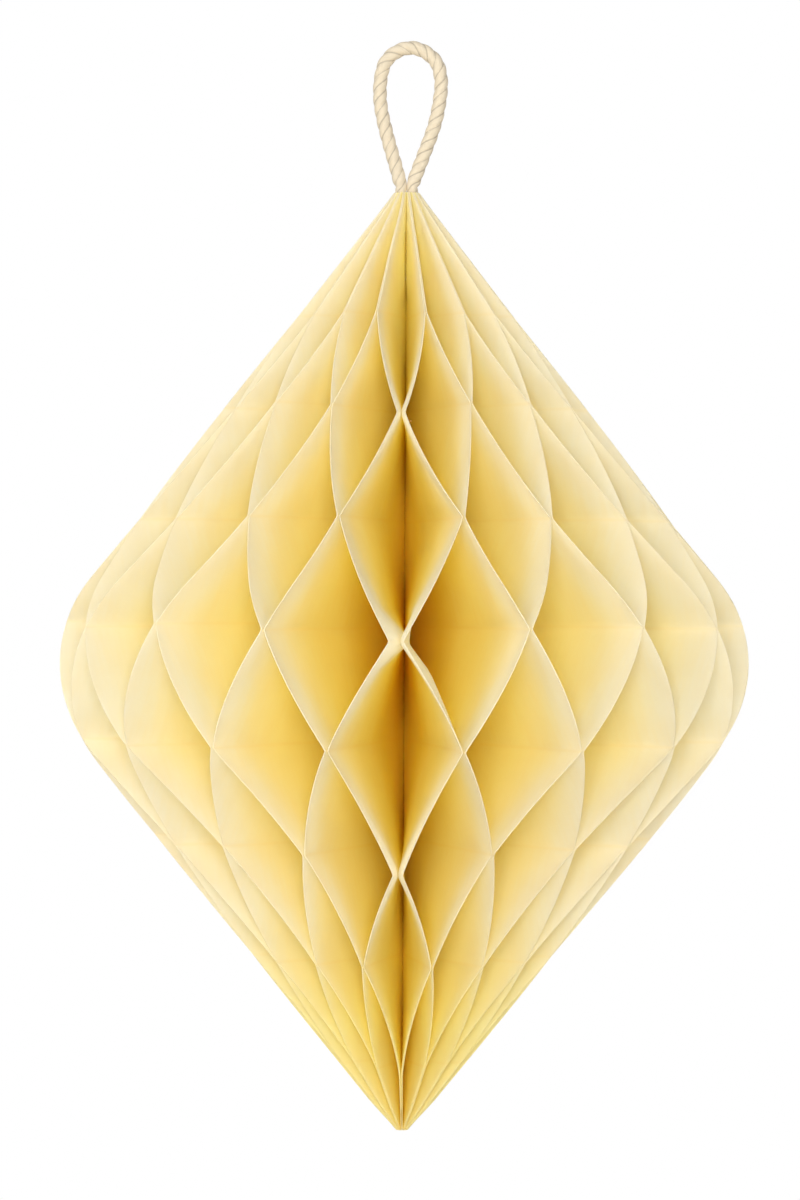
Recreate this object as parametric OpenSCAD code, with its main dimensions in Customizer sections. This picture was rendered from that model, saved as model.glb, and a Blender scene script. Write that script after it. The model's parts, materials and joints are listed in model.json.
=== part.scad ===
// Honeycomb paper ornament: a fan of die-cut leaves that opens to a rounded double cone, on a cord loop.
// Millimetres, +Z up. The origin is the inside top of the cord loop, where a hook carries it.

/* [Paper body] */
// Number of leaves in the fan
leaf_count = 34; // [26:2:36]
// Height of the upper cone, from the waist to the point where its slopes would meet
upper_height = 104; // [90:1:120]
// Height of the lower cone, from the waist to the point where its slopes would meet
lower_height = 100; // [90:1:115]
// Radius at which the upper and lower slopes would meet, before the waist is rounded
corner_radius = 81; // [72:1:90]
// Radius of the rounding at the waist
waist_round = 30; // [15:1:40]
// Distance from the hanging point down to the top of the paper
loop_drop = 29.5; // [29.2:0.1:30]

/* [Leaf] */
// Thickness of the paper
paper = 0.25; // [0.15:0.05:0.3]
// Gap between neighbouring leaves along a glue strip, which is the glue film
glue_film = 0.05; // [0.04:0.01:0.08]
// Distance from one glue level to the next
glue_pitch = 22.4; // [18:0.2:26]
// Height of the middle glue level above the waist
glue_offset = 8.5; // [6:0.5:10]
// Height of a glue strip
glue_strip = 3; // [2:0.5:5]
// How far the strips have settled from their even spacing, as a share of what the photo shows
settling = 1; // [0:0.1:1.2]
// Extra room that the two cover leaves leave at the seam, for the magnets
seam_relief = 1.2; // [1.2:0.1:2]

/* [Cord] */
// Diameter of the hanging cord
cord_d = 3; // [2.5:0.1:3]
// Radius of the throat that the cord is squeezed into
throat_r = 2.5; // [2.4:0.05:2.8]
// Radius of the pocket that holds the stopper knot
pocket_r = 3.6; // [3.5:0.1:4.2]
// Number of turns in the stopper knot
knot_turns = 3.5; // [2:0.5:4]

/* [Closure and binding] */
// Diameter of a closure magnet
magnet_d = 5; // [4:0.5:6]
// Thickness of a closure magnet
magnet_h = 0.8; // [0.5:0.1:0.8]
// Diameter of the binding thread
thread_d = 0.5; // [0.3:0.1:0.6]
// Radius of the ring that the binding thread makes round the axis
thread_ring_r = 4.4; // [4.2:0.1:5]
// Diameter of the hole punched in each leaf for the thread
thread_hole_d = 1.1; // [1:0.1:1.4]

/* [Hidden] */
$fn = 48;

paper_color = "#f1d98c";
cord_color = "#efe4cf";
thread_color = "#e6c468";
magnet_color = "#c9ccd0";

function leaf_name(i) = str("leaf_", i < 10 ? "0" : "", i);
leaf_names = [for (i = [1:leaf_count]) leaf_name(i)];
other_names = ["hanging_cord", "cord_tails", "cord_knot", "binding_thread_upper", "binding_thread_lower",
               "closure_magnets_fixed", "closure_magnets_moving"];

// Angle from one leaf to the next, with the seam behind and a cell square to the front
pitch_angle = 360 / leaf_count;
half_tan = tan(pitch_angle / 2);
half_sin = sin(pitch_angle / 2);
function leaf_angle(i) = 90 + (i - 0.5) * pitch_angle;

// Half the room that a leaf and a glue film take, and the least radius at which all the leaves fit
half_room = (paper + glue_film) / 2;
spine_r = half_room / half_tan + 0.03;

// Stopper knot: diameter and radius of its wrap, rise of a turn, and the room above and below it
knot_wrap_d = 1.6;
knot_wrap_r = 2.4;
knot_pitch = 1.8;
knot_inset = 0.2;
knot_room = 0.5;

// Waist rounding: its centre touches both slopes
upper_slope = atan(corner_radius / upper_height);
lower_slope = atan(corner_radius / lower_height);
round_lift = 1 / cos(lower_slope) - 1 / cos(upper_slope);
round_z = waist_round * round_lift / (tan(upper_slope) + tan(lower_slope));
round_r = corner_radius - waist_round / cos(upper_slope) - tan(upper_slope) * round_z;
round_top = round_z + waist_round * sin(upper_slope);
round_bottom = round_z - waist_round * sin(lower_slope);

// Radius of the body at a height above the waist
function body_r(z) =
    z > round_top ? corner_radius * (1 - z / upper_height)
    : z < round_bottom ? corner_radius * (1 + z / lower_height)
    : round_r + sqrt(waist_round * waist_round - (z - round_z) * (z - round_z));

// Leaf tips, where the cut edge meets the throat above and the spine below
tip_width = 0.2;
tip_top = upper_height * (1 - (throat_r + tip_width) / corner_radius);
tip_bottom = -lower_height * (1 - (spine_r + tip_width) / corner_radius);

// Highest and lowest glue levels: near the tips the leaves are too narrow for a strip and stay in pairs
strip_least_r = 10;
strip_share = 1 - strip_least_r / corner_radius;
level_top = floor((upper_height * strip_share - glue_offset) / glue_pitch);
level_bottom = ceil((-lower_height * strip_share - glue_offset) / glue_pitch);

// Rise of the strips above their even spacing, as [level, rise]: in general, and where the front leaves meet
level_rise = [[-3, -1.4], [-2, 0.6], [-1, -0.8], [0, 0.6], [1, 0], [2, 1], [3, -1.8]];
front_rise = [[-4, -3.8], [-2, -3.8], [0, -2], [2, -1.2]];

// Height of a leaf's glue strip at a level. The two front leaves meet at even levels
front_leaf = leaf_count / 2;
function front_meet(i, level) = (i == front_leaf || i == front_leaf + 1) && level % 2 == 0;
function level_z(i, level) =
    let (rise = lookup(level, front_meet(i, level) ? front_rise : level_rise))
        glue_offset + level * glue_pitch + settling * rise;

// Heights of the rows of points on a leaf: both edges of each glue strip, and steps between strips
span_steps = 4;
function inner_rows(i) = [
    for (level = [level_top:-1:level_bottom])
        let (high = level_z(i, level) + glue_strip / 2)
            let (step = (level_z(i, level) - level_z(i, level - 1) - glue_strip) / span_steps)
                for (k = [-1:level > level_bottom ? span_steps - 1 : 0])
                    high - (k < 0 ? 0 : glue_strip + k * step)
];
function row_heights(i) = concat([tip_top], inner_rows(i), [tip_bottom]);

// Wave of a leaf: 1 on the strips of even levels, -1 on those of odd levels, straight between
function wave_table(i) = [
    for (level = [level_bottom:level_top])
        for (edge = [-glue_strip / 2, glue_strip / 2])
            [level_z(i, level) + edge, level % 2 == 0 ? 1 : -1]
];
function wave(i, z) = lookup(z, wave_table(i));

// A leaf leans to the gap that is glued at that level, and the covers lean less towards the seam
function leaf_side(i) = (i + leaf_count / 2) % 2 == 0 ? 1 : -1;
function seam_side(i) = i == 1 ? -1 : i == leaf_count ? 1 : 0;
function lean(i, z) =
    let (side = leaf_side(i) * wave(i, z))
        let (room = body_r(z) * half_sin - half_room)
            side * max(0, room - (side * seam_side(i) > 0 ? seam_relief : 0));
function rim_point(i, z) =
    let (y = lean(i, z))
        [sqrt(body_r(z) * body_r(z) - y * y), y];
function spine_point(i, z) = [spine_r, leaf_side(i) * wave(i, z) * (spine_r * half_tan - half_room)];

// Corners of a leaf's section at one height: two on the spine and two on the rim
function leaf_row(i, z) =
    let (spine = spine_point(i, z), rim = rim_point(i, z), half = paper / 2)
        [[spine[0], spine[1] - half, z], [rim[0], rim[1] - half, z],
         [rim[0], rim[1] + half, z], [spine[0], spine[1] + half, z]];

// Triangles between two rings of points, from the first ring to the next. The diagonals of a ring's two
// halves mirror each other, so both faces of a leaf are creased along the same lines and stay parallel
function band(a, b, count) = [
    for (k = [0:count - 1])
        let (n = (k + 1) % count)
            each k < count / 2 ? [[a + k, a + n, b + n], [a + k, b + n, b + k]]
                               : [[a + k, a + n, b + k], [a + n, b + n, b + k]]
];

// One solid through a list of rings that all have the same number of points, the first ring on top
module ring_solid(rings, sides) {
    last = (len(rings) - 1) * sides;
    walls = [for (j = [0:len(rings) - 2]) each band(j * sides, (j + 1) * sides, sides)];
    top = [[for (k = [sides - 1:-1:0]) k]];
    bottom = [[for (k = [0:sides - 1]) last + k]];
    polyhedron([for (ring = rings) each ring], concat(top, walls, bottom), convexity = 12);
}

// Heights in the frame of the part
body_top = -loop_drop;
waist_drop = loop_drop + tip_top;
pocket_top = body_top - 9;
pocket_height = knot_room + knot_inset + knot_wrap_d + knot_turns * knot_pitch + knot_room;

// The threads run where the front leaves meet, on the highest and lowest such levels that are wide enough
thread_rim = 15;
thread_heights = [
    for (level = [level_bottom:level_top])
        let (z = level_z(front_leaf, level))
            if (front_meet(front_leaf, level) && body_r(z) > thread_ring_r + thread_rim)
                z - waist_drop
];
thread_lower_z = thread_heights[0];
thread_upper_z = thread_heights[len(thread_heights) - 1];

module throat() {
    translate([0, 0, pocket_top - pocket_height])
        cylinder(r = pocket_r, h = pocket_height);
    translate([0, 0, pocket_top])
        cylinder(r = throat_r, h = body_top - pocket_top + 1);
}

module thread_hole(z) {
    translate([thread_ring_r, 0, z])
        rotate([90, 0, 0])
            cylinder(d = thread_hole_d, h = 2, center = true);
}

module leaf(i) {
    color(paper_color)
        difference() {
            rotate([0, 0, leaf_angle(i)])
                difference() {
                    translate([0, 0, -waist_drop])
                        ring_solid([for (z = row_heights(i)) leaf_row(i, z)], 4);
                    thread_hole(thread_upper_z);
                    thread_hole(thread_lower_z);
                }
            throat();
        }
}

// Route of the cord loop, up the left strand and down the right, as [x, z] points
cord_route = [
    [-1.2, -29], [-1.2, -27.8], [-2, -25], [-3, -21.5], [-4, -18], [-4.9, -14.5], [-5.6, -11],
    [-5.8, -8], [-5.6, -5], [-4.7, -1.8], [-2.4, 0.5], [0.7, 1.4], [3.8, 0.5], [6.2, -1.8], [7.1, -5],
    [7.1, -8], [6.6, -11.5], [5.8, -15], [4.6, -18.5], [3.3, -22], [2, -25.5], [1.2, -27.8], [1.2, -29]
];
cord_half = cord_route[len(cord_route) - 1][0];
cord_z = cord_route[0][1];
squeeze_z = -20;

// Smooth curve through points, as [x, z] points two to each stretch
function curve_at(p, j, t) =
    let (a = p[max(j - 1, 0)], b = p[j], c = p[j + 1], d = p[min(j + 2, len(p) - 1)])
        let (bend = 2 * a - 5 * b + 4 * c - d, twist = 3 * b - a - 3 * c + d)
            b + (c - a) * t / 2 + bend * t * t / 2 + twist * t * t * t / 2;
cord_line = concat([for (j = [0:len(cord_route) - 2]) for (t = [0, 0.5]) curve_at(cord_route, j, t)],
                   [cord_route[len(cord_route) - 1]]);

// Ring of points round the cord: its ends are level, and the strands are squeezed where they meet
cord_sides = 8;
strand_gap = 0.1;
cord_last = len(cord_line) - 1;
function cord_way(j) =
    let (step = cord_line[min(j + 1, cord_last)] - cord_line[max(j - 1, 0)])
        j == 0 ? [0, 1] : j == cord_last ? [0, -1] : step / norm(step);
function cord_ring(j) =
    let (p = cord_line[j])
        let (along = cord_way(j))
            let (r = p[1] < squeeze_z ? min(cord_d, 2 * abs(p[0]) - strand_gap) / 2 : cord_d / 2)
                [for (k = [0:cord_sides - 1])
                    let (turn = k * 360 / cord_sides)
                        [p[0] - r * along[1] * cos(turn), r * sin(turn), p[1] + r * along[0] * cos(turn)]];

module hanging_cord() {
    color(cord_color)
        ring_solid([for (j = [0:cord_last]) cord_ring(j)], cord_sides);
}

tail_d = 2 * cord_half - strand_gap;
knot_top = pocket_top - knot_room;

module cord_tails() {
    color(cord_color)
        for (x = [-cord_half, cord_half])
            translate([x, 0, knot_top])
                cylinder(d = tail_d, h = cord_z - knot_top);
}

// Stopper knot: one ply of the cord wrapped round the tails and drawn tight
knot_core_d = 4.4;
knot_steps = 16;
knot_height = (knot_turns + 0.5) * knot_pitch;
function knot_ring(j) =
    let (turn = j * 360 / knot_steps)
    let (z = knot_top - knot_inset - knot_wrap_d / 2 - j * knot_pitch / knot_steps)
        [for (k = [0:cord_sides - 1])
            let (around = k * 360 / cord_sides, r = knot_wrap_r + cos(around) * knot_wrap_d / 2)
                [r * cos(turn), r * sin(turn), z + sin(around) * knot_wrap_d / 2]];

module cord_knot() {
    color(cord_color) {
        translate([0, 0, knot_top - knot_height])
            cylinder(d = knot_core_d, h = knot_height);
        ring_solid([for (j = [0:knot_turns * knot_steps]) knot_ring(j)], cord_sides);
    }
}

module binding_thread(z) {
    color(thread_color)
        translate([0, 0, z])
            rotate_extrude()
                translate([thread_ring_r, 0])
                    circle(d = thread_d);
}

module binding_thread_upper() {
    binding_thread(thread_upper_z);
}

module binding_thread_lower() {
    binding_thread(thread_lower_z);
}

// Closure magnets lie on a cover leaf's seam face, on the two glue strips nearest the waist
magnet_share = 0.8;
magnet_glue = 0.03;

module closure_magnets(i) {
    color(magnet_color)
        rotate([0, 0, leaf_angle(i)])
            for (level = [-1, 1]) {
                z = level_z(i, level);
                spine = spine_point(i, z);
                rim = rim_point(i, z);
                angle = atan2(rim[1] - spine[1], rim[0] - spine[0]);
                along = magnet_share * norm(rim - spine);
                translate([spine[0], spine[1], z - waist_drop])
                    rotate([0, 0, angle])
                        translate([along, seam_side(i) * (paper / 2 + magnet_glue), 0])
                            rotate([-90 * seam_side(i), 0, 0])
                                cylinder(d = magnet_d, h = magnet_h);
            }
}

module closure_magnets_fixed() {
    closure_magnets(1);
}

module closure_magnets_moving() {
    closure_magnets(leaf_count);
}

for (i = [1:leaf_count])
    leaf(i);
hanging_cord();
cord_tails();
cord_knot();
binding_thread_upper();
binding_thread_lower();
closure_magnets_fixed();
closure_magnets_moving();
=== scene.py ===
import json
import math
import bpy
import numpy as np
from mathutils import Matrix, Vector


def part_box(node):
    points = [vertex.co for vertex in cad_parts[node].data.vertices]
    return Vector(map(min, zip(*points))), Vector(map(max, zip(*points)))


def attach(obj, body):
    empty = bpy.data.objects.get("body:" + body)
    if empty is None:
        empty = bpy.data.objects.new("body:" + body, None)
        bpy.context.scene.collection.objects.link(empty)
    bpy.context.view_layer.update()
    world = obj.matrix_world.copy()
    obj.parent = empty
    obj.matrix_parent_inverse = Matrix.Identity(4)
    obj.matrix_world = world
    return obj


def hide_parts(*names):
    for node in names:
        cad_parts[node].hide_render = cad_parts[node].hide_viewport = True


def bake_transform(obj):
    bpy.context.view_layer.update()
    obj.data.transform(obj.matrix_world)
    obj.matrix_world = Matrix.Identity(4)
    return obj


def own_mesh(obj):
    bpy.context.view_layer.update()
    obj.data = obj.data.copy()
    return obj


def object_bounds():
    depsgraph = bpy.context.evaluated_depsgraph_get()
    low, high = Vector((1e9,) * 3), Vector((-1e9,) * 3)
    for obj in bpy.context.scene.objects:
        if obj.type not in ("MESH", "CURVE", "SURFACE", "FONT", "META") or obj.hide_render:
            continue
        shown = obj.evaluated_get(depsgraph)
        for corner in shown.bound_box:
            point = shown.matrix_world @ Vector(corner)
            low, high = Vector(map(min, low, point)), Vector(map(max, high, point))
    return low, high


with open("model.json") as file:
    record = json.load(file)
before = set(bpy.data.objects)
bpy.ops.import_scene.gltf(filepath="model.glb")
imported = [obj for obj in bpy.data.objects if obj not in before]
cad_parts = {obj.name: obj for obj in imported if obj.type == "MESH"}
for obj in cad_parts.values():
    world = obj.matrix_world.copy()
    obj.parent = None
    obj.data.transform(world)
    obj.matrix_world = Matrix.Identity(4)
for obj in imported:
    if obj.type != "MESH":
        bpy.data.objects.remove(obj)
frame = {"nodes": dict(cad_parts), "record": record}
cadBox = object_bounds()
mm = 0.001


# Small helpers


def hexColour(text):
    # sRGB hex to the linear colour that a socket takes
    channels = [int(text[i:i + 2], 16) / 255 for i in (1, 3, 5)]
    return [c / 12.92 if c <= 0.04045 else ((c + 0.055) / 1.055) ** 2.4 for c in channels] + [1.0]


def addNode(tree, kind, settings, links):
    # settings are properties of the node or values of its sockets, links go into its sockets
    node = tree.nodes.new(kind)
    for name, value in settings.items():
        if isinstance(name, str) and hasattr(node, name):
            setattr(node, name, value)
        else:
            node.inputs[name].default_value = value
    for name, source in links.items():
        tree.links.new(source, node.inputs[name])
    return node


def newMaterial(name):
    # an empty material with its output, ready for a shader
    material = bpy.data.materials.new(name)
    material.use_nodes = True
    material.node_tree.nodes.clear()
    return material, material.node_tree


def setRamp(node, stops):
    # stops are pairs of place and hex colour
    elements = node.color_ramp.elements
    while len(elements) < len(stops):
        elements.new(0.5)
    for element, (place, colour) in zip(elements, stops):
        element.position = place
        element.color = hexColour(colour)


def meshPiece(name, points, faces, uv=None):
    # a mesh object from points in millimetres, with its place in its mesh
    mesh = bpy.data.meshes.new(name)
    mesh.from_pydata([tuple(p) for p in np.asarray(points) * mm], [], faces)
    if uv is not None:
        corners = np.zeros(len(mesh.loops), np.int32)
        mesh.loops.foreach_get("vertex_index", corners)
        layer = mesh.uv_layers.new(name="UVMap")
        layer.data.foreach_set("uv", np.asarray(uv, np.float32)[corners].ravel())
    mesh.validate()
    piece = bpy.data.objects.new(name, mesh)
    bpy.context.scene.collection.objects.link(piece)
    for face in mesh.polygons:
        face.use_smooth = True
    return piece


# Camera, where the picture was taken from

cameraSet = dict(
    distance=0.727,      # metres from the axis
    height=-0.1156,      # metres above the hanging point
    turn=1.26,           # degrees round to the right
    aside=0.077,         # degrees that it looks past the axis
    roll=0.3,            # degrees that it leans
    focalPixels=3431,    # focal length in pixels of the image
    imageHeight=1200,
)


def makeCamera(s):
    lens = bpy.data.cameras.new("camera")
    lens.lens = lens.sensor_width * s["focalPixels"] / s["imageHeight"]
    camera = bpy.data.objects.new("camera", lens)
    bpy.context.scene.collection.objects.link(camera)
    turn = math.radians(s["turn"])
    camera.location = (s["distance"] * math.sin(turn), -s["distance"] * math.cos(turn), s["height"])
    camera.rotation_euler = (math.pi / 2, -math.radians(s["roll"]), turn + math.radians(s["aside"]))
    bpy.context.scene.camera = camera


makeCamera(cameraSet)
print("camera placed")


# Hanging cord: three plies of cotton, laid to the right, up the left strand and down the right

cordSet = dict(
    diameter=3.0,        # mm
    plies=3,
    layLength=7.5,       # mm of cord in one turn of the lay
    plyRadius=0.78,      # share of the cord's radius
    plyOffset=0.22,      # share of the cord's radius
    plySides=14,
    ringStep=0.3,        # mm between rings
    squeezeBelow=-20.0,  # the strands press on each other below this height
    strandGap=-0.1,      # mm; the soft strands flatten against each other
    unevenness=0.015,    # share by which a ply's thickness wanders
    route=[              # x and z in mm, the points that the solid follows
        (-1.2, -29), (-1.2, -27.8), (-2, -25), (-3, -21.5), (-4, -18), (-4.9, -14.5), (-5.6, -11),
        (-5.8, -8), (-5.6, -5), (-4.7, -1.8), (-2.4, 0.5), (0.7, 1.4), (3.8, 0.5), (6.2, -1.8), (7.1, -5),
        (7.1, -8), (6.6, -11.5), (5.8, -15), (4.6, -18.5), (3.3, -22), (2, -25.5), (1.2, -27.8), (1.2, -29),
    ],
)
ropeRandom = np.random.default_rng(11)
wanderPoints = 24        # places along a rope at which a ply's thickness is drawn at random


def smoothLine(route, steps=12):
    # a smooth curve through the route's points
    p = np.array([route[0]] + list(route) + [route[-1]], float)
    line = []
    for a, b, c, d in zip(p, p[1:], p[2:], p[3:]):
        for t in np.linspace(0, 1, steps, endpoint=False):
            line.append(b + (c - a) * t / 2 + (2 * a - 5 * b + 4 * c - d) * t ** 2 / 2
                        + (3 * b - a - 3 * c + d) * t ** 3 / 2)
    return np.array(line + [p[-1]])


def evenSteps(line, step):
    # the same line with points at even steps along it
    along = np.concatenate([[0], np.cumsum(np.linalg.norm(np.diff(line, axis=0), axis=1))])
    places = np.linspace(0, along[-1], max(2, round(along[-1] / step) + 1))
    return np.array([np.interp(places, along, line[:, k]) for k in range(line.shape[1])]).T


def layRope(line, radii, s):
    # points, faces and UV of a rope along a line: a lobe for each ply, turning with the lay
    count, sides = len(line), s["plies"] * s["plySides"]
    ahead = np.gradient(line, axis=0)
    ahead /= np.linalg.norm(ahead, axis=1)[:, None]
    across = np.zeros_like(line)
    normal = np.array([0.0, 1.0, 0.0])
    for k in range(count):
        normal = normal - ahead[k] * (normal @ ahead[k])
        normal /= np.linalg.norm(normal)
        across[k] = normal
    beside = np.cross(across, ahead)
    along = np.concatenate([[0], np.cumsum(np.linalg.norm(np.diff(line, axis=0), axis=1))])
    corner = np.arange(sides)
    around = 2 * math.pi * corner / sides
    aside = (corner % s["plySides"] / s["plySides"] - 0.5) * 2 * math.pi / s["plies"]
    offset = s["plyOffset"]
    lobe = offset * np.cos(aside) + np.sqrt(s["plyRadius"] ** 2 - (offset * np.sin(aside)) ** 2)
    drawn = np.linspace(0, along[-1], wanderPoints)
    wander = np.array([np.interp(along, drawn, ropeRandom.normal(1, s["unevenness"], wanderPoints))
                       for _ in range(s["plies"])])
    thick = radii[:, None] * lobe * wander.T[:, corner // s["plySides"]]
    turn = around + 2 * math.pi * along[:, None] / s["layLength"]
    points = line[:, None] + thick[..., None] * (np.cos(turn)[..., None] * beside[:, None]
                                                 + np.sin(turn)[..., None] * across[:, None])
    faces = [[k * sides + n, k * sides + (n + 1) % sides,
              (k + 1) * sides + (n + 1) % sides, (k + 1) * sides + n]
             for k in range(count - 1) for n in range(sides)]
    faces += [list(range(sides))[::-1], list(range((count - 1) * sides, count * sides))]
    uv = [(n / sides, v * mm) for v in along for n in range(sides)]
    return points.reshape(-1, 3), faces, uv


def makeCord(s):
    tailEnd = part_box("cord_tails")[0].z / mm
    x = s["route"][-1][0]
    route = [(-x, tailEnd), (-x, (tailEnd + s["route"][0][1]) / 2)] + s["route"]
    route += [(x, (tailEnd + s["route"][0][1]) / 2), (x, tailEnd)]
    flat = evenSteps(smoothLine(route), s["ringStep"])
    line = np.column_stack([flat[:, 0], np.zeros(len(flat)), flat[:, 1]])
    squeezed = np.minimum(s["diameter"] / 2, np.abs(line[:, 0]) - s["strandGap"] / 2)
    radii = np.where(line[:, 2] < s["squeezeBelow"], squeezed, s["diameter"] / 2)
    cord = meshPiece("hangingCord", *layRope(line, radii, s))
    length = np.linalg.norm(np.diff(line, axis=0), axis=1).sum()
    return cord, line, length


hangingCord, cordLine, cordLength = makeCord(cordSet)
print("cord laid:", round(cordLength, 1), "mm")


# Stopper knot: the cord's ends wrapped round themselves, drawn tight in their pocket

knotSet = dict(
    wrapDiameter=1.6,    # mm
    wrapRadius=2.4,      # mm, of the helix
    pitch=1.8,           # mm
    turns=3.5,
    inset=0.2,           # mm below the top of the knot
    coreSpread=1.1,      # mm from the axis to each tail
    coreDiameter=2.2,    # mm
    spread=0.3,          # mm that the cut ends reach below the wraps
    stepsInTurn=40,
)


def makeKnot(s):
    low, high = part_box("cord_knot")
    top = high.z / mm
    turn = np.linspace(0, 2 * math.pi * s["turns"], int(s["stepsInTurn"] * s["turns"]))
    start = top - s["inset"] - s["wrapDiameter"] / 2
    wrap = np.column_stack([s["wrapRadius"] * np.cos(turn), s["wrapRadius"] * np.sin(turn),
                            start - turn / (2 * math.pi) * s["pitch"]])
    ropes = [(wrap, s["wrapDiameter"] / 2)]
    for x in (-s["coreSpread"], s["coreSpread"]):
        tail = np.array([(x, 0, top), (x, 0, low.z / mm - s["spread"])])
        ropes.append((evenSteps(tail, cordSet["ringStep"]), s["coreDiameter"] / 2))
    points, faces, uv = [], [], []
    for line, radius in ropes:
        morePoints, moreFaces, moreUv = layRope(line, np.full(len(line), radius), cordSet)
        faces += [[corner + len(points) for corner in face] for face in moreFaces]
        points += list(morePoints)
        uv += moreUv
    return meshPiece("stopperKnot", points, faces, uv)


stopperKnot = makeKnot(knotSet)
print("knot wrapped")


# Binding threads: each a loop of sewing thread through the leaves, its ends tied one over the other

threadSet = dict(
    plies=3,
    layLength=1.6,       # mm
    plyRadius=0.66,      # share of the thread's radius
    plyOffset=0.34,      # share of the thread's radius
    plySides=6,
    unevenness=0.02,     # share by which a ply's thickness wanders
    overlap=0.5,         # radians that the tied ends pass each other
    rise=0.6,            # radians over which the upper end rises
    steps=260,           # rings along the loop
)


def makeThread(name, node, s):
    low, high = [np.array(corner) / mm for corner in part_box(node)]
    thick = high[2] - low[2]
    turn = np.linspace(0, 2 * math.pi + s["overlap"], s["steps"])
    over = np.clip((turn - 2 * math.pi + s["rise"]) / s["rise"], 0, 1)
    reach = (high[0] - low[0] - thick) / 2
    line = np.column_stack([reach * np.cos(turn), reach * np.sin(turn), low[2] + thick * (0.5 + over)])
    return meshPiece(name, *layRope(line, np.full(len(line), thick / 2), s))


bindingThreads = {"binding_thread_upper": makeThread("upperThread", "binding_thread_upper", threadSet),
                  "binding_thread_lower": makeThread("lowerThread", "binding_thread_lower", threadSet)}
print("threads tied")


# Paper leaves: each a die-cut half outline, folded in waves from one glue strip to the next

leafSet = dict(
    count=len([n for n in frame["nodes"] if n.startswith("leaf_")]),
    upperHeight=104.0,   # mm from the waist to where the upper slopes would meet
    lowerHeight=100.0,   # mm from the waist to where the lower slopes would meet
    cornerRadius=81.0,   # mm, where the slopes would meet before the waist is rounded
    waistRound=30.0,     # mm, radius of that rounding
    topHeight=-29.5,     # mm, top of the paper
    paper=0.25,          # mm thick
    glueFilm=0.05,       # mm
    gluePitch=22.4,      # mm between glue levels
    glueOffset=8.5,      # mm from the waist up to the middle level
    glueStrip=1.4,       # mm high
    seamRelief=1.2,      # mm that the covers stay back from the seam
    throatRadius=2.5,    # mm, round the cord
    pocketRadius=3.6,    # mm, round the knot
    pocketTop=-38.5,     # mm
    pocketBottom=-47.6,
    spineClearance=0.03,  # mm from the inner edges to where the leaves would touch
    tipWidth=0.2,        # mm that is left of a leaf at the tips
    tipPress=0.6,        # mm that the pinched lower tip draws in
    tipReach=7.0,        # mm over which it does
    tipThin=0.2,         # share of the pinch from which the paper is pressed thin
    edgeFlare=0.03,      # share of the lean by which the cut edges stand apart at a glue strip
    frontFlare=0.2,      # the same in the front column, which is glued further in
    stripLeastRadius=10.0,  # mm; nearer to the tips the leaves have no strips and stay in pairs
    stripTaper=0.8,      # share of its height that a strip loses at the cut edge
    # mm that each level's strips stand above their even spacing, in general and where the front leaves meet
    levelRise={-4: -1.4, -3: -1.4, -2: 0.6, -1: -0.8, 0: 0.6, 1: 0.0, 2: 1.0, 3: -1.8},
    frontRise={-4: -3.8, -2: -3.8, 0: -2.0, 2: -1.2},
    # degrees that the leaves to the left and right of the front cell stand further apart, at these levels
    frontSpread={-3: (2.6, 1.3), -1: (0.7, 0.4), 1: (1.4, 2.3), 3: (3.0, 0.5)},
    spreadFrom=3.0,      # mm from the axis where they start to
    spreadReach=10.0,    # mm over which it grows
    glueWander=0.3,      # mm by which the other columns wander up and down
    turnRadius=9.0,      # mm from the axis; inside it, round the cord and its knot, the inner edges turn
    turnFade=5.0,        # mm over which that grows inwards
    turnBottom=-54.0,    # mm, height at which it starts
    turnRise=6.0,        # mm over which it grows upwards
    turnFrom=0.3,        # share of the width from which it starts
    turnReach=0.4,       # share of the width over which it grows
    bowSize=3.2,         # mm that the front leaves bow to the right behind their cut edges
    bowReach=0.1,        # share of the width over which they curl back to the cut edge
    bowAtGlue=0.75,      # share of the bow where they are glued together
    bowUnder=0.95,       # share of the bow where the right leaf bows most
    bowFullest=6.0,      # mm below the glue where that is
    bowAbove=6.0,        # mm above the glue where the bow ends
    bowBelow=5.0,        # mm below the glue where it ends on the left leaf
    flareReach=0.05,     # share of the leaf's width that flares
    edgePress=0.6,       # share of the thickness that the die leaves at the cut edge
    edgeAngle=50,        # degrees, above which an edge looks sharp
    cornerSoftness=0.05,  # rounding of the folds
    fullShadeDepth=60.0,        # mm in from the cut edge where the painted shade is deepest
    lowShade=0.28,        # how much deeper the painted shade is towards the lower tip, where less light falls
    lowFrom=40.0,        # mm below the waist where that starts
    lowReach=45.0,       # mm over which it grows
    markWidth=0.5,       # mm from a strip's middle over which its mark fades
    columns=26,
    columnCrowding=2.2,  # how closely the columns stand at the cut edge; 1 is even
    rowsInSpan=18,
    stepGap=0.02,        # mm from a step of the inner edge to the rows beside it
    tipGap=0.15,         # mm from a tip to the next row, at least
)


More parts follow.
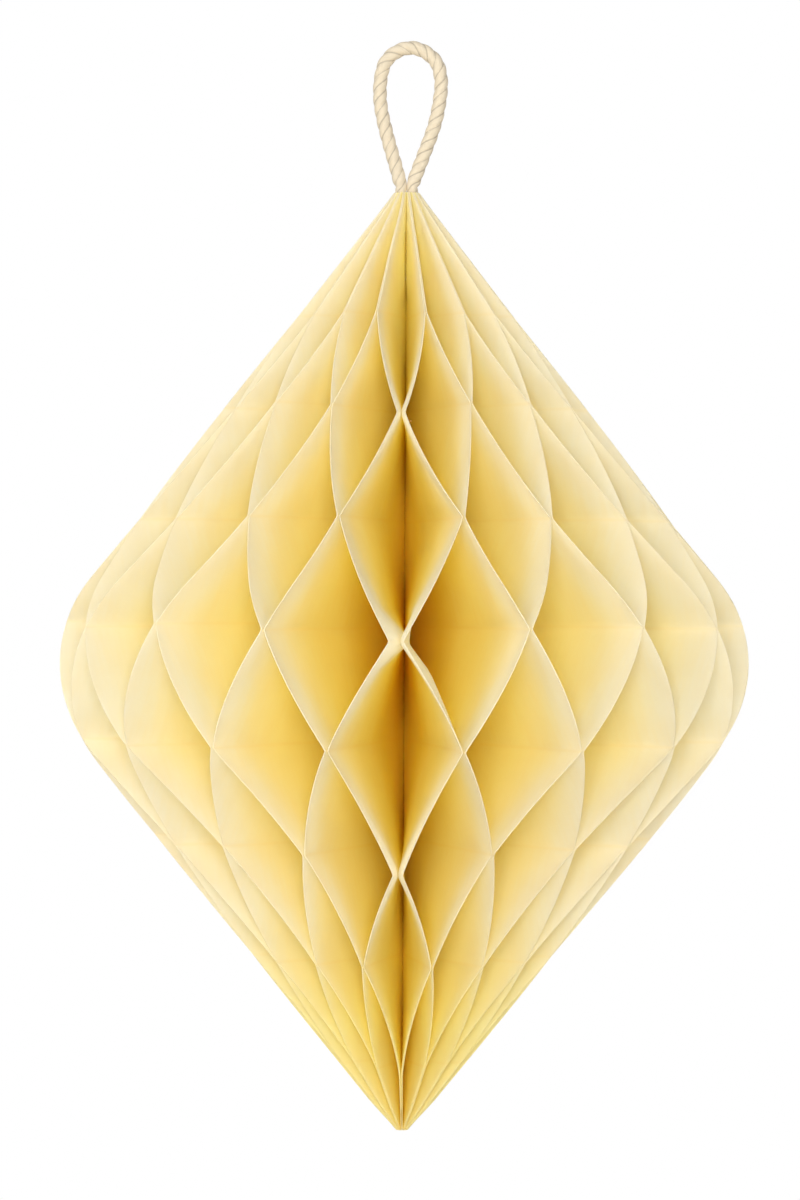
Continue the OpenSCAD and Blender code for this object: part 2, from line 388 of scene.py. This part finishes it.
def leafFacts(s):
    # what follows from the sizes: angles, the waist's rounding, the tips and the waist's height
    f = dict(s)
    f["pitchAngle"] = 2 * math.pi / s["count"]
    f["halfRoom"] = (s["paper"] + s["glueFilm"]) / 2
    f["spineRadius"] = f["halfRoom"] / math.tan(f["pitchAngle"] / 2) + s["spineClearance"]
    upper = math.atan(s["cornerRadius"] / s["upperHeight"])
    lower = math.atan(s["cornerRadius"] / s["lowerHeight"])
    lift = 1 / math.cos(lower) - 1 / math.cos(upper)
    f["roundZ"] = s["waistRound"] * lift / (math.tan(upper) + math.tan(lower))
    f["roundR"] = s["cornerRadius"] - s["waistRound"] / math.cos(upper) - math.tan(upper) * f["roundZ"]
    f["roundTop"] = f["roundZ"] + s["waistRound"] * math.sin(upper)
    f["roundBottom"] = f["roundZ"] - s["waistRound"] * math.sin(lower)
    f["tipTop"] = s["upperHeight"] * (1 - (s["throatRadius"] + s["tipWidth"]) / s["cornerRadius"])
    f["tipBottom"] = -s["lowerHeight"] * (1 - (f["spineRadius"] + s["tipWidth"]) / s["cornerRadius"])
    f["waistHeight"] = s["topHeight"] - f["tipTop"]
    return f


leaf = leafFacts(leafSet)
frontGap = leaf["count"] // 2
glueShift = np.random.default_rng(5).normal(0, leaf["glueWander"], leaf["count"] + 1)
glueShift[[0, -1]] = 0
glueShift[frontGap] = 0


def bodyRadius(z):
    # radius of the body at a height above the waist
    middle = leaf["waistRound"] ** 2 - (z - leaf["roundZ"]) ** 2
    middle = leaf["roundR"] + np.sqrt(np.maximum(middle, 0))
    upper = leaf["cornerRadius"] * (1 - z / leaf["upperHeight"])
    lower = leaf["cornerRadius"] * (1 + z / leaf["lowerHeight"])
    return np.where(z > leaf["roundTop"], upper, np.where(z < leaf["roundBottom"], lower, middle))


def innerRadius(z):
    # radius of the throat, the knot's pocket or the spine at a height above the waist
    height = z + leaf["waistHeight"]
    inPocket = (height < leaf["pocketTop"]) & (height > leaf["pocketBottom"])
    return np.where(inPocket, leaf["pocketRadius"],
                    np.where(height >= leaf["pocketTop"], leaf["throatRadius"], leaf["spineRadius"]))


def leafAngle(number):
    # direction of a leaf, counted from the seam at the back
    return math.pi / 2 + (number - 0.5) * leaf["pitchAngle"]


def leafSide(number):
    # the side that a leaf is glued to at even levels
    return 1 if (number + leaf["count"] // 2) % 2 == 0 else -1


def seamSide(number):
    # the side of a cover that faces the seam, and 0 for the leaves between
    return -1 if number == 1 else 1 if number == leaf["count"] else 0


def glueLevels():
    # glue levels where the leaf is wide enough for a strip, highest first
    share = 1 - leaf["stripLeastRadius"] / leaf["cornerRadius"]
    top = math.floor((leaf["upperHeight"] * share - leaf["glueOffset"]) / leaf["gluePitch"])
    bottom = math.ceil((-leaf["lowerHeight"] * share - leaf["glueOffset"]) / leaf["gluePitch"])
    return list(range(top, bottom - 1, -1))


def leanSign(number, level):
    # the side that a leaf is glued to at a level
    return leafSide(number) * (1 if level % 2 == 0 else -1)


def levelHeight(number, level):
    # height of a leaf's glue strip above the waist; both leaves of a gap share its shift
    gap = number if leanSign(number, level) > 0 else number - 1
    rise = leaf["frontRise" if gap == frontGap else "levelRise"][level]
    return leaf["glueOffset"] + level * leaf["gluePitch"] + rise + glueShift[gap]


def leafRows(number):
    # heights of the rows, close together at the glue strips and at the steps of the inner edge
    shares = (1 - np.cos(np.linspace(0, math.pi, leaf["rowsInSpan"] + 1))) / 2
    levels = [leaf["tipTop"]] + [levelHeight(number, level) for level in glueLevels()] + [leaf["tipBottom"]]
    rows = [a + (b - a) * t for a, b in zip(levels, levels[1:]) for t in shares[:-1]]
    for step in (leaf["pocketTop"], leaf["pocketBottom"]):
        rows += [step - leaf["waistHeight"] + side * leaf["stepGap"] for side in (1, -1)]
    rows = [z for z in rows if leaf["tipBottom"] + leaf["tipGap"] < z < leaf["tipTop"] - leaf["tipGap"]]
    return np.array(sorted(rows + [leaf["tipTop"], leaf["tipBottom"]], reverse=True))


def leafColumns():
    # shares of the leaf's width from the cut edge to the inner edge, close together at the edge
    return np.linspace(0, 1, leaf["columns"]) ** leaf["columnCrowding"]


def softClip(value):
    # limits a wave to 1 with rounded corners
    k = leaf["cornerSoftness"]
    size = np.abs(value)
    blend = np.maximum(k - np.abs(size - 1), 0) / k
    return np.sign(value) * (np.minimum(size, 1) - blend ** 2 * k / 4)


def smoothStep(value):
    # eases from 0 to 1
    value = np.clip(value, 0, 1)
    return value * value * (3 - 2 * value)


def tipShare(z):
    # 1 at the lower tip, where the leaves are pinched together, and 0 further up
    return smoothStep((leaf["tipBottom"] + leaf["tipReach"] - z) / leaf["tipReach"])


def frontOpening(number, z, wave):
    # angle by which the leaves on both sides of the front cell, two on the left and two on the right,
    # stand further apart where they are in pairs
    side = {-1: 0, 0: 0, 1: 1, 2: 1}.get(number - frontGap)
    if side is None:
        return np.zeros_like(z)
    levels = sorted(leaf["frontSpread"])
    heights = [levelHeight(number, n) for n in levels]
    angle = np.interp(z, heights, [leaf["frontSpread"][n][side] for n in levels])
    paired = (1 - wave * leafSide(number)) / 2
    return np.radians(angle) * paired * (1 if side else -1)


def frontBow(number, z, share):
    # the pair at the middle of the front bows to the right behind its cut edges, its right leaf also below
    middle, half = levelHeight(frontGap, 0), leaf["glueStrip"] / 2
    heights = [middle - half, middle + half, middle + leaf["bowAbove"]]
    sizes = [leaf["bowAtGlue"], leaf["bowAtGlue"], 0]
    if number == frontGap:
        heights = [middle - leaf["bowBelow"]] + heights
        sizes = [0] + sizes
    elif number == frontGap + 1:
        heights = [levelHeight(number, -1), middle - leaf["bowFullest"]] + heights
        sizes = [0, leaf["bowUnder"]] + sizes
    else:
        return np.zeros_like(z)
    window = np.interp(z, heights, sizes)
    return leaf["bowSize"] * window * smoothStep(share / leaf["bowReach"]) * (1 - share)


def leafShape(number, z, share):
    # place on a leaf, as radius outwards and lean to the side, and its distance in from the cut edge
    press = leaf["tipPress"] * tipShare(z)
    rim, inner = bodyRadius(z) - press, innerRadius(z) - press
    radius = rim - share * (rim - inner)
    flare = np.maximum(0, 1 - share / leaf["flareReach"])
    levels = glueLevels()[::-1]
    signs = [leanSign(number, n) for n in levels]
    ramp = np.interp(z, [levelHeight(number, n) for n in levels], signs)
    strip = leaf["glueStrip"] * (1 - leaf["stripTaper"] * flare)
    wave = softClip(ramp / (1 - strip / leaf["gluePitch"]))
    apart = smoothStep((radius - leaf["spreadFrom"]) / leaf["spreadReach"])
    opening = frontOpening(number, z, wave) * apart
    if not seamSide(number):
        # round the cord and its knot the inner edges turn the other way
        # and shut the gaps that are open outside
        near = smoothStep((leaf["turnRadius"] - radius) / leaf["turnFade"])
        high = smoothStep((z + leaf["waistHeight"] - leaf["turnBottom"]) / leaf["turnRise"])
        within = smoothStep((share - leaf["turnFrom"]) / leaf["turnReach"])
        wave = wave * (1 - 2 * near * high * within)
    halfSin = math.sin(leaf["pitchAngle"] / 2)
    room = np.maximum(0, radius * halfSin - leaf["halfRoom"] * (1 - flare * (1 - leaf["edgePress"])))
    relief = leaf["seamRelief"] * radius / rim
    towardsSeam = wave * seamSide(number) > 0
    room = np.where(towardsSeam, np.maximum(0, room - relief), room)
    ahead, behind = [1 - leaf["frontFlare" if gap == frontGap else "edgeFlare"]
                     for gap in (number, number - 1)]
    cutEdge = (ahead * (1 + wave) - behind * (1 - wave)) / 2
    lean = room * (wave + (cutEdge - wave) * flare ** 2) + frontBow(number, z, share)
    out = np.sqrt(np.maximum(radius ** 2 - lean ** 2, 0))
    turnedOut = out * np.cos(opening) - lean * np.sin(opening)
    turnedLean = out * np.sin(opening) + lean * np.cos(opening)
    return turnedOut, turnedLean, rim - radius


def paintPoints(mesh, name, values):
    # a value for each point, which the paper's material reads
    layer = mesh.attributes.new(name, "FLOAT", "POINT")
    layer.data.foreach_set("value", values.astype(np.float32))


def markPaper(mesh, number, z, share, depth):
    # how deep the painted shade is, in from the cut edge and towards the lower tip, and where the glue shows
    # through
    # painted shade: darker towards the lower tip, where less light falls
    low = smoothStep((-z - leaf["lowFrom"]) / leaf["lowReach"])
    # painted shade: the colour is deeper the further in from the cut edge and towards the lower tip
    paintPoints(mesh, "paintedShade", (depth / leaf["fullShadeDepth"] + share) / 2 + leaf["lowShade"] * low)
    toLevel = np.min([np.abs(z - levelHeight(number, level)) for level in glueLevels()], axis=0)
    paintPoints(mesh, "glueMark", np.exp(-(toLevel / leaf["markWidth"]) ** 2))


def pressPaper(piece, z, column, columns):
    # gives the sheet its thickness, which the die leaves thinner along the cut edge and at the lower tip
    full = piece.vertex_groups.new(name="fullThickness")
    for k, weight in enumerate(smoothStep(columns / leaf["flareReach"])):
        full.add(np.flatnonzero(column == k).tolist(), float(weight), "REPLACE")
    full.add(np.flatnonzero(tipShare(z) > leaf["tipThin"]).tolist(), 0.0, "REPLACE")
    bpy.ops.object.modifier_add(type="SOLIDIFY")
    thick = piece.modifiers[-1]
    thick.thickness = leaf["paper"] * mm
    thick.offset = 0
    thick.vertex_group = full.name
    thick.thickness_vertex_group = leaf["edgePress"]
    bpy.ops.object.modifier_apply(modifier=thick.name)
    bpy.ops.object.shade_smooth_by_angle(angle=math.radians(leaf["edgeAngle"]))


def makeLeaf(number):
    rows, columns = leafRows(number), leafColumns()
    bpy.ops.object.select_all(action="DESELECT")
    bpy.ops.mesh.primitive_grid_add(x_subdivisions=len(columns) - 1, y_subdivisions=len(rows) - 1, size=1)
    piece = bpy.context.object
    piece.name = piece.data.name = f"paperLeaf{number:02d}"
    mesh = piece.data
    place = np.zeros(len(mesh.vertices) * 3)
    mesh.vertices.foreach_get("co", place)
    place = place.reshape(-1, 3)
    column = np.rint((place[:, 0] + 0.5) * (len(columns) - 1)).astype(int)
    row = np.rint((place[:, 1] + 0.5) * (len(rows) - 1)).astype(int)
    z, share = rows[::-1][row], columns[column]
    out, lean, depth = leafShape(number, z, share)
    angle = leafAngle(number)
    shaped = np.column_stack([out * math.cos(angle) - lean * math.sin(angle),
                              out * math.sin(angle) + lean * math.cos(angle),
                              z + leaf["waistHeight"]]) * mm
    mesh.vertices.foreach_set("co", shaped.ravel())
    markPaper(mesh, number, z, share, depth)
    corners = np.zeros(len(mesh.loops), np.int32)
    mesh.loops.foreach_get("vertex_index", corners)
    flat = np.column_stack([np.hypot(out, lean), z + leaf["waistHeight"]]) * mm  # UV in metres of the sheet
    mesh.uv_layers.active.data.foreach_set("uv", flat[corners].astype(np.float32).ravel())
    mesh.update()
    pressPaper(piece, z, column, columns)
    return piece


paperLeaves = {number: makeLeaf(number) for number in range(1, leaf["count"] + 1)}
print("leaves folded:", len(paperLeaves))


# Closure magnets: nickel-plated discs glued to the seam side of the two covers

magnetSet = dict(
    diameter=5.0,        # mm
    thickness=0.8,       # mm
    sides=48,
    edgeRound=0.15,      # mm
    edgeSteps=3,
    edgeAngle=40,        # degrees, above which an edge looks sharp
    share=0.8,           # of the leaf's width from the spine
    levels=(-1, 1),      # glue levels that they sit on
    glue=0.03,           # mm
)


def makeMagnet(name, number, level, s):
    z = np.array(levelHeight(number, level))
    spine = leafShape(number, z, np.array(1.0))
    rim = leafShape(number, z, np.array(leaf["flareReach"]))
    slope = math.atan2(rim[1] - spine[1], rim[0] - spine[0])
    reach = s["share"] * float(bodyRadius(z))
    bpy.ops.object.select_all(action="DESELECT")
    bpy.ops.mesh.primitive_cylinder_add(vertices=s["sides"], radius=s["diameter"] / 2 * mm,
                                        depth=s["thickness"] * mm)
    disc = bpy.context.object
    disc.name = disc.data.name = name
    bpy.ops.object.modifier_add(type="BEVEL")
    bevel = disc.modifiers[-1]
    bevel.width = s["edgeRound"] * mm
    bevel.segments = s["edgeSteps"]
    bevel.limit_method = "ANGLE"
    bpy.ops.object.modifier_apply(modifier=bevel.name)
    bpy.ops.object.shade_smooth_by_angle(angle=math.radians(s["edgeAngle"]))
    lift = seamSide(number) * (leaf["paper"] / 2 + s["glue"] + s["thickness"] / 2)
    disc.data.transform(
        Matrix.Rotation(leafAngle(number), 4, "Z")
        @ Matrix.Translation(Vector((spine[0], spine[1], z + leaf["waistHeight"])) * mm)
        @ Matrix.Rotation(slope, 4, "Z")
        @ Matrix.Translation(Vector((reach, lift, 0)) * mm)
        @ Matrix.Rotation(math.pi / 2, 4, "X"))
    return disc


coverMagnets = []
for number, cover in ((1, "Fixed"), (leaf["count"], "Moving")):
    for level, place in zip(magnetSet["levels"], ("Lower", "Upper")):
        coverMagnets.append((number, makeMagnet(f"seamMagnet{cover}{place}", number, level, magnetSet)))
print("magnets placed")


# Materials

paperLook = dict(
    tones=[              # painted light and shade over the paper's own yellow: near white at the cut edge, where the light falls, and deeper gold inwards, where the cells lie in shade
        (0.0, "#fffced"), (0.1, "#fffce6"), (0.2, "#fffad0"), (0.35, "#fffabc"),
        (0.55, "#fff9a2"), (0.75, "#fff468"), (0.95, "#ffed46"),
    ],
    mottle="#fefbf2",    # tint of the streaks, clouds and glue marks
    mottleRange=(0.6, 1.4),  # of the sum of streak and cloud, from none to full tint
    streakWidth=1.2,     # mm; fibres are finer, and are drawn as coarse as they need to show
    streakLength=10.0,   # mm
    cloudSize=7.0,       # mm
    grainSize=0.6,       # mm
    grainHeight=0.1,     # mm
    grainStrength=0.15,
    roughness=0.85,
    ior=1.5,
    specular=0.25,
    sheer=0.42,          # share of the light that goes through
)


def dyedPaperWithPaintedShade(s):
    # wove paper dyed in the pulp: matt, with painted light and shade, pale along the cut edge and deeper
    # gold towards the spine and the lower tip, with a faint cloudy mottle, upright fibre streaks and the
    # glue strips just showing through
    material, tree = newMaterial("dyedPaperWithPaintedShade")
    paintedShade = addNode(tree, "ShaderNodeAttribute", {"attribute_name": "paintedShade"}, {})
    glue = addNode(tree, "ShaderNodeAttribute", {"attribute_name": "glueMark"}, {})
    surface = addNode(tree, "ShaderNodeTexCoord", {}, {})
    # painted light and shade: the paper's yellow near white at the cut edge and deeper gold inwards and
    # towards the lower tip
    tone = addNode(tree, "ShaderNodeValToRGB", {}, {"Fac": paintedShade.outputs["Fac"]})
    setRamp(tone, s["tones"])
    stretch = addNode(tree, "ShaderNodeMapping",
                      {"Scale": (1 / (s["streakWidth"] * mm), 1 / (s["streakLength"] * mm), 1)},
                      {"Vector": surface.outputs["UV"]})
    streak = addNode(tree, "ShaderNodeTexNoise", {"Scale": 1.0, "Detail": 3.0},
                     {"Vector": stretch.outputs[0]})
    cloud = addNode(tree, "ShaderNodeTexNoise", {"Scale": 1 / (s["cloudSize"] * mm), "Detail": 2.0},
                    {"Vector": surface.outputs["UV"]})
    both = addNode(tree, "ShaderNodeMath", {"operation": "ADD"},
                   {0: streak.outputs["Fac"], 1: cloud.outputs["Fac"]})
    shade = addNode(tree, "ShaderNodeMapRange",
                    {"From Min": s["mottleRange"][0], "From Max": s["mottleRange"][1]},
                    {"Value": both.outputs[0]})
    marks = addNode(tree, "ShaderNodeMath", {"operation": "MAXIMUM"},
                    {0: shade.outputs[0], 1: glue.outputs["Fac"]})
    # the colour mix has its colours at sockets 6 and 7 and its result at 2
    tint = addNode(tree, "ShaderNodeMix", {"data_type": "RGBA", 6: (1, 1, 1, 1), 7: hexColour(s["mottle"])},
                   {0: marks.outputs[0]})
    colour = addNode(tree, "ShaderNodeVectorMath", {"operation": "MULTIPLY"},
                     {0: tone.outputs["Color"], 1: tint.outputs[2]})
    grain = addNode(tree, "ShaderNodeTexNoise", {"Scale": 1 / (s["grainSize"] * mm), "Detail": 4.0},
                    {"Vector": surface.outputs["UV"]})
    bump = addNode(tree, "ShaderNodeBump",
                   {"Strength": s["grainStrength"], "Distance": s["grainHeight"] * mm},
                   {"Height": grain.outputs["Fac"]})
    shader = addNode(tree, "ShaderNodeBsdfPrincipled",
                     {"Roughness": s["roughness"], "IOR": s["ior"], "Specular IOR Level": s["specular"]},
                     {"Base Color": colour.outputs[0], "Normal": bump.outputs[0]})
    through = addNode(tree, "ShaderNodeBsdfTranslucent", {},
                      {"Color": colour.outputs[0], "Normal": bump.outputs[0]})
    sheer = addNode(tree, "ShaderNodeMixShader", {"Fac": s["sheer"]},
                    {1: shader.outputs[0], 2: through.outputs[0]})
    addNode(tree, "ShaderNodeOutputMaterial", {}, {"Surface": sheer.outputs[0]})
    return material


cottonLook = dict(
    tones=[(0.0, "#d6c7ab"), (1.0, "#eadfca")],
    yarnsRound=36.0,     # yarns round the cord
    yarnLength=3.0,      # mm of a yarn that shows
    fluffSize=0.4,       # mm
    fluffHeight=0.1,     # mm
    fluffStrength=0.1,
    grooveWidth=0.12,    # share of a ply's width on each side that is in shade
    grooveShade=0.6,
    roughness=0.9,
    specular=0.2,
    sheen=0.25,
    sheenRoughness=0.5,
)


def laidCotton(s):
    # undyed cotton cord: soft and matt, with fine yarns along each ply and shade between the plies
    material, tree = newMaterial("laidCotton")
    surface = addNode(tree, "ShaderNodeTexCoord", {}, {})
    stretch = addNode(tree, "ShaderNodeMapping",
                      {"Scale": (s["yarnsRound"], 1 / (s["yarnLength"] * mm), 1)},
                      {"Vector": surface.outputs["UV"]})
    yarn = addNode(tree, "ShaderNodeTexNoise", {"Scale": 1.0, "Detail": 3.0}, {"Vector": stretch.outputs[0]})
    fluff = addNode(tree, "ShaderNodeTexNoise", {"Scale": 1 / (s["fluffSize"] * mm), "Detail": 3.0},
                    {"Vector": surface.outputs["Object"]})
    tone = addNode(tree, "ShaderNodeValToRGB", {}, {"Fac": yarn.outputs["Fac"]})
    setRamp(tone, s["tones"])
    around = addNode(tree, "ShaderNodeSeparateXYZ", {}, {0: surface.outputs["UV"]})
    ply = addNode(tree, "ShaderNodeMath", {"operation": "MULTIPLY", 1: cordSet["plies"]},
                  {0: around.outputs["X"]})
    groove = addNode(tree, "ShaderNodeMath", {"operation": "PINGPONG", 1: 0.5}, {0: ply.outputs[0]})
    shade = addNode(tree, "ShaderNodeMapRange",
                    {"From Max": s["grooveWidth"], "To Min": s["grooveShade"], "To Max": 1.0},
                    {"Value": groove.outputs[0]})
    colour = addNode(tree, "ShaderNodeVectorMath", {"operation": "SCALE"},
                     {0: tone.outputs["Color"], "Scale": shade.outputs[0]})
    height = addNode(tree, "ShaderNodeMath", {"operation": "ADD"},
                     {0: yarn.outputs["Fac"], 1: fluff.outputs["Fac"]})
    bump = addNode(tree, "ShaderNodeBump",
                   {"Strength": s["fluffStrength"], "Distance": s["fluffHeight"] * mm},
                   {"Height": height.outputs[0]})
    shader = addNode(tree, "ShaderNodeBsdfPrincipled",
                     {"Roughness": s["roughness"], "Specular IOR Level": s["specular"],
                      "Sheen Weight": s["sheen"], "Sheen Roughness": s["sheenRoughness"]},
                     {"Base Color": colour.outputs[0], "Normal": bump.outputs[0]})
    addNode(tree, "ShaderNodeOutputMaterial", {}, {"Surface": shader.outputs[0]})
    return material


threadLook = dict(
    tones=[(0.3, "#e3bd5a"), (0.7, "#f0d182")],
    fibreSize=0.3,       # mm
    fibreHeight=0.05,    # mm
    fibreStrength=0.3,
    roughness=0.55,
    specular=0.4,
)


def spunThread(s):
    # polyester sewing thread: dyed to the paper, with a little fibre and a slight gloss
    material, tree = newMaterial("spunThread")
    surface = addNode(tree, "ShaderNodeTexCoord", {}, {})
    fibre = addNode(tree, "ShaderNodeTexNoise", {"Scale": 1 / (s["fibreSize"] * mm), "Detail": 2.0},
                    {"Vector": surface.outputs["Object"]})
    tone = addNode(tree, "ShaderNodeValToRGB", {}, {"Fac": fibre.outputs["Fac"]})
    setRamp(tone, s["tones"])
    bump = addNode(tree, "ShaderNodeBump",
                   {"Strength": s["fibreStrength"], "Distance": s["fibreHeight"] * mm},
                   {"Height": fibre.outputs["Fac"]})
    shader = addNode(tree, "ShaderNodeBsdfPrincipled",
                     {"Roughness": s["roughness"], "Specular IOR Level": s["specular"]},
                     {"Base Color": tone.outputs["Color"], "Normal": bump.outputs[0]})
    addNode(tree, "ShaderNodeOutputMaterial", {}, {"Surface": shader.outputs[0]})
    return material


nickelLook = dict(
    colour="#d3cfc6",
    scuffSize=0.5,       # mm
    roughness=(0.18, 0.34),  # where it is bright and where it is scuffed
)


def nickelPlate(s):
    # bright nickel on a pressed magnet: mirror-like, a little dulled by handling
    material, tree = newMaterial("nickelPlate")
    surface = addNode(tree, "ShaderNodeTexCoord", {}, {})
    scuff = addNode(tree, "ShaderNodeTexNoise", {"Scale": 1 / (s["scuffSize"] * mm), "Detail": 3.0},
                    {"Vector": surface.outputs["Object"]})
    rough = addNode(tree, "ShaderNodeMapRange",
                    {"To Min": s["roughness"][0], "To Max": s["roughness"][1]},
                    {"Value": scuff.outputs["Fac"]})
    shader = addNode(tree, "ShaderNodeBsdfPrincipled",
                     {"Base Color": hexColour(s["colour"]), "Metallic": 1.0},
                     {"Roughness": rough.outputs[0]})
    addNode(tree, "ShaderNodeOutputMaterial", {}, {"Surface": shader.outputs[0]})
    return material


def dress(piece, material):
    piece.data.materials.clear()
    piece.data.materials.append(material)


finishes = [
    (dyedPaperWithPaintedShade(paperLook), list(paperLeaves.values())),
    (laidCotton(cottonLook), [hangingCord, stopperKnot]),
    (spunThread(threadLook), list(bindingThreads.values())),
    (nickelPlate(nickelLook), [piece for _, piece in coverMagnets]),
]
for finish, pieces in finishes:
    for piece in pieces:
        dress(piece, finish)
print("materials set")


# Joining the pieces to the frame

bodyOf = {node: body for body, nodes in frame["record"]["behaviour"]["bodies"].items() for node in nodes}


for number, piece in paperLeaves.items():
    node = f"leaf_{number:02d}"
    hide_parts(node)
    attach(piece, bodyOf[node])
    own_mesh(piece)

for number, piece in coverMagnets:
    node = "closure_magnets_fixed" if number == 1 else "closure_magnets_moving"
    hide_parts(node)
    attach(piece, bodyOf[node])
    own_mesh(piece)

for node, piece in bindingThreads.items():
    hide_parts(node)
    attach(piece, bodyOf[node])
    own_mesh(piece)

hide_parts("cord_knot")
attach(stopperKnot, bodyOf["cord_knot"])
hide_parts("hanging_cord", "cord_tails")
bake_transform(hangingCord)
print("pieces joined to the frame")


# Floor, light and background

stageSet = dict(
    floorDrop=0.26,      # metres from the tip down to the floor
    floorSize=6.0,       # metres
    floorCells=8,
    floorColour="#dedbd5",
    shadowRadius=0.06,   # metres; the floor fades to the background beyond it
    fadeRadius=0.32,     # metres, where the fade ends
    ambientLow=0.0,      # strength of the room's light on its dark side
    ambientHigh=0.36,    # and on its bright side
    brightSide=(-0.75, -0.1, 0.65),  # the way to that side
    lights=dict(         # places and sizes in metres, power in watts
        keyLight=dict(place=(-1.05, -0.95, 0.45), size=0.9, power=6.6, colour="#fffaf2"),
        fillLight=dict(place=(0.0, -1.4, 0.0), size=0.5, power=12.0, colour="#ffffff"),
        sideLight=dict(place=(0.9, -1.0, 0.2), size=0.7, power=3.3, colour="#fffaf0"),
        backLeftLight=dict(place=(-0.65, 1.25, 0.3), size=0.9, power=6.0, colour="#fffaf2"),
        backRightLight=dict(place=(0.65, 1.25, 0.3), size=0.9, power=6.0, colour="#fffaf2"),
    ),
    scatterings=20,      # times that light is followed from leaf to leaf
)


def paleFloor(s):
    # pale floor: it keeps the shadow below the ornament and fades to white further out
    material, tree = newMaterial("paleFloor")
    surface = addNode(tree, "ShaderNodeTexCoord", {}, {})
    away = addNode(tree, "ShaderNodeVectorMath", {"operation": "LENGTH"}, {0: surface.outputs["Object"]})
    fade = addNode(tree, "ShaderNodeMapRange",
                   {"From Min": s["shadowRadius"], "From Max": s["fadeRadius"],
                    "interpolation_type": "SMOOTHSTEP"},
                   {"Value": away.outputs["Value"]})
    path = addNode(tree, "ShaderNodeLightPath", {}, {})
    seen = addNode(tree, "ShaderNodeMath", {"operation": "MULTIPLY"},
                   {0: fade.outputs[0], 1: path.outputs["Is Camera Ray"]})
    matt = addNode(tree, "ShaderNodeBsdfDiffuse", {"Color": hexColour(s["floorColour"])}, {})
    white = addNode(tree, "ShaderNodeEmission", {"Strength": 1.0}, {})
    mix = addNode(tree, "ShaderNodeMixShader", {},
                  {0: seen.outputs[0], 1: matt.outputs[0], 2: white.outputs[0]})
    addNode(tree, "ShaderNodeOutputMaterial", {}, {"Surface": mix.outputs[0]})
    return material


def makeStage(s):
    bpy.ops.object.select_all(action="DESELECT")
    bpy.ops.mesh.primitive_grid_add(x_subdivisions=s["floorCells"], y_subdivisions=s["floorCells"],
                                    size=s["floorSize"])
    floor = bpy.context.object
    floor.name = "floor"
    floor.location.z = cadBox[0].z - s["floorDrop"]
    dress(floor, paleFloor(s))


def makeLight(name, s):
    lamp = bpy.data.lights.new(name, "AREA")
    lamp.size = s["size"]
    lamp.energy = s["power"]
    lamp.color = hexColour(s["colour"])[:3]
    light = bpy.data.objects.new(name, lamp)
    bpy.context.scene.collection.objects.link(light)
    light.location = s["place"]
    middle = (cadBox[0] + cadBox[1]) / 2
    light.rotation_euler = (middle - light.location).to_track_quat("-Z", "Y").to_euler()


def makeWorld(s):
    world = bpy.data.worlds.new("studio")
    bpy.context.scene.world = world
    world.use_nodes = True
    tree = world.node_tree
    tree.nodes.clear()
    path = addNode(tree, "ShaderNodeLightPath", {}, {})
    mirror = addNode(tree, "ShaderNodeMath", {"operation": "MAXIMUM"},
                     {0: path.outputs["Is Glossy Ray"], 1: path.outputs["Is Transmission Ray"]})
    # light that the paper has scattered is taken as light and not as a view of the background
    sharp = addNode(tree, "ShaderNodeMath", {"operation": "SUBTRACT", "use_clamp": True},
                    {0: mirror.outputs[0], 1: path.outputs["Is Diffuse Ray"]})
    seen = addNode(tree, "ShaderNodeMath", {"operation": "MAXIMUM"},
                   {0: path.outputs["Is Camera Ray"], 1: sharp.outputs[0]})
    # the room is a little brighter from the upper left
    around = addNode(tree, "ShaderNodeTexCoord", {}, {})
    towards = addNode(tree, "ShaderNodeVectorMath", {"operation": "DOT_PRODUCT", 1: s["brightSide"]},
                      {0: around.outputs["Generated"]})
    level = addNode(tree, "ShaderNodeMapRange",
                    {"From Min": -1.0, "To Min": s["ambientLow"], "To Max": s["ambientHigh"]},
                    {"Value": towards.outputs["Value"]})
    soft = addNode(tree, "ShaderNodeBackground", {"Color": (1, 1, 1, 1)}, {"Strength": level.outputs[0]})
    white = addNode(tree, "ShaderNodeBackground", {"Color": (1, 1, 1, 1), "Strength": 1.0}, {})
    mix = addNode(tree, "ShaderNodeMixShader", {},
                  {0: seen.outputs[0], 1: soft.outputs[0], 2: white.outputs[0]})
    addNode(tree, "ShaderNodeOutputWorld", {}, {"Surface": mix.outputs[0]})
    paths = bpy.context.scene.cycles
    paths.max_bounces = paths.diffuse_bounces = paths.transmission_bounces = s["scatterings"]


makeStage(stageSet)
for name, light in stageSet["lights"].items():
    makeLight(name, light)
makeWorld(stageSet)
bpy.context.scene.view_settings.view_transform = "Standard"
print("stage lit")
